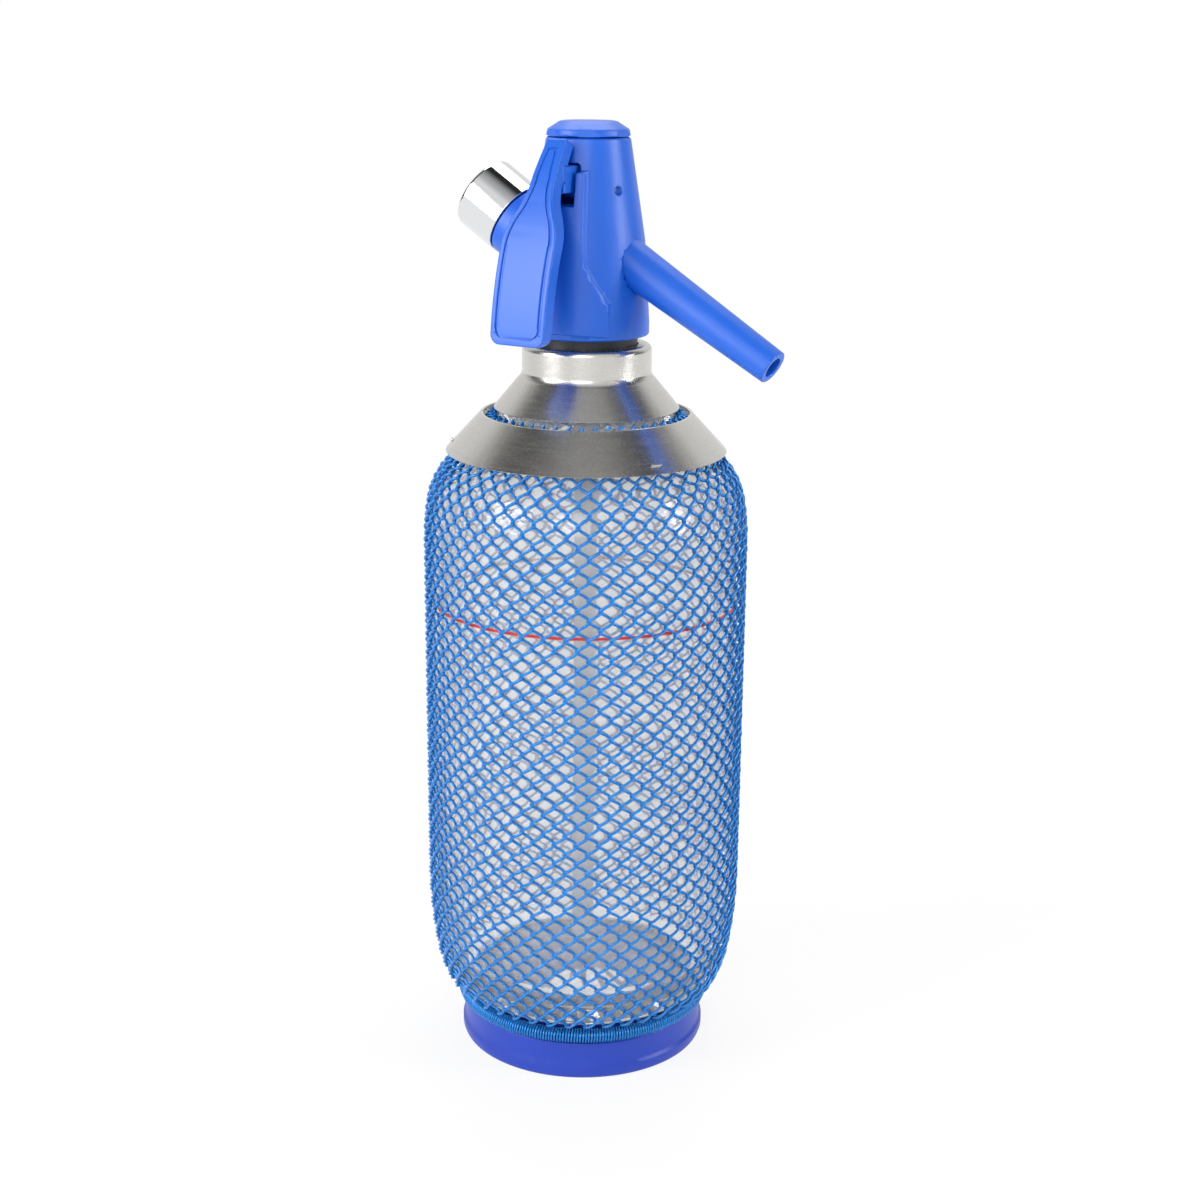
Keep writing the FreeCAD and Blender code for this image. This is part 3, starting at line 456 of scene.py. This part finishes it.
def build_sleeve():
    """The weave, in a few pieces of neighbouring coils."""
    stations = glass_side()
    reach = min(high("mesh_sleeve").x, high("mesh_sleeve").y)
    depth = (reach - high("glass_bottle").x - SLEEVE_SEAT - WIRE)/2 - SLEEVE_SPARE
    length = stations[-1][0]
    steps = int(length/COIL_PITCH*COIL_POINTS)
    side = [station_at(stations, length*step/steps) for step in range(steps + 1)]
    draw = random.Random(7)
    for group in range(SLEEVE_PIECES):
        curve = wire_curve(f"sleeve_wires_{group}", WIRE)
        for coil in range(group, COILS, SLEEVE_PIECES):
            facing = 2*math.pi*coil/COILS
            points = []
            for step, (spot, normal) in enumerate(side):
                turn = 2*math.pi*step/COIL_POINTS + math.pi*coil
                spread = COIL_HOOK*2*math.pi*spot.x/COILS
                lift = SLEEVE_SEAT + WIRE/2 + depth*(1 + math.sin(turn))
                place = spot + normal*lift
                place.y = -coil_swing(turn)*spread
                points.append(Matrix.Rotation(facing + draw.uniform(-1, 1)*SLEEVE_WANDER, 3, "Z") @ place)
            add_strand(curve, points)
        made = piece(f"sleeve_wires_{group}", curve, "bottle", "blue_wire", WIRE_BLUE)
        if group == 0:
            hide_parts("mesh_sleeve")


# Garter spring: a close coil bent into a ring
GARTER_WIRE = 0.86*MM
GARTER_POINTS = 8
GARTER_SPACING = 1.13
GARTER_WAVES = 17
GARTER_LEAN = 0.0008
GARTER_WANDER = 0.0003


def build_garter():
    """The close coil, whose turns lean a little to one side and the other round the ring."""
    floor, roof = low("garter_spring"), high("garter_spring")
    coil = (roof.z - floor.z)/2 - GARTER_WIRE/2
    middle = (roof.z + floor.z)/2
    ring = roof.x - (roof.z - floor.z)/2
    turns = int(2*math.pi*(ring + coil)/(GARTER_WIRE*GARTER_SPACING))
    draw = random.Random(11)
    curve = wire_curve("garter_coil", GARTER_WIRE)
    curve.bevel_resolution = 0
    points = []
    for step in range(turns*GARTER_POINTS):
        turn = 2*math.pi*step/GARTER_POINTS
        facing = 2*math.pi*step/(turns*GARTER_POINTS)
        wobble = GARTER_LEAN*math.sin(facing*GARTER_WAVES) + draw.uniform(-1, 1)*GARTER_WANDER
        radius = ring + coil*math.cos(turn)
        points.append(Vector((radius*math.cos(facing + wobble), radius*math.sin(facing + wobble),
                              middle + coil*math.sin(turn))))
    add_strand(curve, points, closed=True)
    piece("garter_coil", curve, "bottle", "blue_wire", WIRE_BLUE, "garter_spring")


def build_spring():
    """The valve spring: a copy of the imported coil as it stands, riding on the head."""
    joints = frame["record"]["behaviour"]["joints"]
    lift = next(joint for joint in joints if joint["name"] == "valve_lift")
    fixed = lift["deforming_nodes"][0]["fixed_end_z_m"]
    work = merged_copy("valve_spring")
    mesh = bpy.data.meshes.new("valve_spring_coil")
    work.to_mesh(mesh)
    work.free()
    slot = NODE_SLOT["valve_spring"]
    coil = piece("valve_spring_coil", mesh, "head", slot, SLOT_FINISH[slot], "valve_spring")
    keep = 1 - lift["range_m"][1]/(fixed - low("valve_spring").z)
    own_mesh(coil)


# Fill line printed round the glass
FILL_HEIGHT = 158.0*MM
FILL_BAND = 1.0*MM
FILL_PROUD = 0.05*MM
FILL_STEPS = 128


def build_fill_line():
    """A thin printed band on the barrel."""
    radius = high("glass_bottle").x + FILL_PROUD
    work = bmesh.new()
    rim = [work.verts.new((radius, 0, FILL_HEIGHT + side*FILL_BAND/2)) for side in (-1, 1)]
    edge = work.edges.new(rim)
    bmesh.ops.spin(work, geom=rim + [edge], axis=UP, cent=(0, 0, 0), angle=2*math.pi,
                   steps=FILL_STEPS, use_merge=True)
    bmesh.ops.recalc_face_normals(work, faces=work.faces)
    mesh = bpy.data.meshes.new("fill_line")
    work.to_mesh(mesh)
    work.free()
    piece("fill_line", mesh, "bottle", "clear_glass", RED)


# Camera at the photograph's viewing angle
CAMERA_SPOT = Vector((330.5*MM, -529.8*MM, 333.8*MM))
CAMERA_AZIMUTH = 31.5
CAMERA_FALL = 15.88
CAMERA_ROLL = 0.53
CAMERA_LENS = 57.84


def set_camera():
    """The photograph's camera."""
    data = bpy.data.cameras.new("photo_camera")
    data.lens = CAMERA_LENS
    data.sensor_width = 36.0
    data.sensor_fit = "HORIZONTAL"
    data.clip_end = 50.0
    camera = bpy.data.objects.new("photo_camera", data)
    turn = Matrix.Rotation(math.radians(CAMERA_AZIMUTH), 4, "Z")
    tilt = Matrix.Rotation(math.radians(90 - CAMERA_FALL), 4, "X")
    roll = Matrix.Rotation(math.radians(CAMERA_ROLL), 4, "Z")
    camera.matrix_world = Matrix.Translation(CAMERA_SPOT) @ turn @ tilt @ roll
    bpy.context.collection.objects.link(camera)
    bpy.context.scene.camera = camera


# Lamps: azimuth from the camera's, height, reach, width, tall side, watts
LAMPS = {
    "front_box": (-10, 0.80, 1.5, 0.8, 1.0, 8.0),
    "left_box": (-63, 0.65, 1.3, 0.7, 0.9, 15.0),
    "right_box": (75, 0.60, 1.3, 0.4, 0.9, 10.0),
    "top_box": (180, 1.4, 0.6, 0.9, 0.9, 9.0),
}
LAMP_AIM = Vector((0, 0, 0.17))
FLOOR_RADIUS = 12.0


def soft_box(name, azimuth, height, reach, width, tall, power):
    """A rectangular lamp that faces the bottle from an azimuth about it."""
    data = bpy.data.lights.new(name, "AREA")
    data.shape = "RECTANGLE"
    data.size = width
    data.size_y = tall
    data.energy = power
    lamp = bpy.data.objects.new(name, data)
    angle = math.radians(azimuth)
    spot = Vector((math.sin(angle)*reach, -math.cos(angle)*reach, height))
    aim = LAMP_AIM - spot
    lamp.matrix_world = Matrix.Translation(spot) @ aim.to_track_quat("-Z", "Y").to_matrix().to_4x4()
    bpy.context.collection.objects.link(lamp)


def ray_kinds(finish):
    """Whether a ray comes from the camera, off something shiny or through something clear."""
    return [finish.add("ShaderNodeLightPath", output=kind)
            for kind in ("Is Camera Ray", "Is Glossy Ray", "Is Transmission Ray")]


def set_stage():
    """White floor that keeps the shadow, white surround and plain soft lamps."""
    m = Finish("floor_white")
    seen, mirror, through = ray_kinds(m)
    paper = m.add("ShaderNodeBsdfDiffuse", Color=colour(0.90, 0.90, 0.90))
    glow = m.add("ShaderNodeEmission", Color=colour(1.0, 1.0, 1.0), Strength=1.0)
    across, along, height = m.parts_of(m.place())
    distance = (across*across + along*along).root()
    fade = m.add("ShaderNodeMapRange", {"interpolation_type": "SMOOTHSTEP"}, in0=distance,
                 in1=0.10, in2=0.42, in3=0.86, in4=1.0)
    share = (seen + mirror + through)*fade
    blend = m.add("ShaderNodeMixShader", in0=share, in1=paper, in2=glow)
    m.add("ShaderNodeOutputMaterial", in0=blend)
    work = bmesh.new()
    bmesh.ops.create_circle(work, cap_ends=True, segments=64, radius=FLOOR_RADIUS)
    mesh = bpy.data.meshes.new("floor")
    work.to_mesh(mesh)
    work.free()
    floor = bpy.data.objects.new("floor", mesh)
    floor.data.materials.append(m.material)
    bpy.context.collection.objects.link(floor)
    world = bpy.data.worlds.new("surround")
    bpy.context.scene.world = world
    w = Finish("surround", world)
    seen, mirror, through = ray_kinds(w)
    angle = math.radians(CAMERA_AZIMUTH)
    ray = w.add("ShaderNodeTexCoord", output="Generated")
    ahead = w.add("ShaderNodeVectorMath", {"operation": "DOT_PRODUCT"}, output="Value",
                  in0=ray, in1=(math.sin(angle), -math.cos(angle), 0.0))
    over = w.parts_of(ray)[2]
    front = abs(ahead)
    open_sky = w.add("ShaderNodeMapRange", {"interpolation_type": "SMOOTHSTEP"}, in0=front + over*0.30,
                     in1=0.34, in2=0.74, in3=0.04, in4=0.85)
    ceiling = w.add("ShaderNodeMapRange", {"interpolation_type": "SMOOTHSTEP"}, in0=over,
                    in1=0.70, in2=0.90, in3=1.0, in4=0.60)
    level = 0.40*(1 - (seen + mirror + through)) + seen + through + mirror*open_sky*ceiling
    light = w.add("ShaderNodeBackground", Color=colour(1.0, 1.0, 1.0), Strength=level)
    w.add("ShaderNodeOutputWorld", in0=light)
    for name, (azimuth, *rest) in LAMPS.items():
        soft_box(name, CAMERA_AZIMUTH + azimuth, *rest)


dress_nodes()
build_sleeve()
ease_nodes()
build_garter()
build_spring()
build_fill_line()
set_camera()
set_stage()
bpy.context.scene.view_settings.view_transform = "Standard"
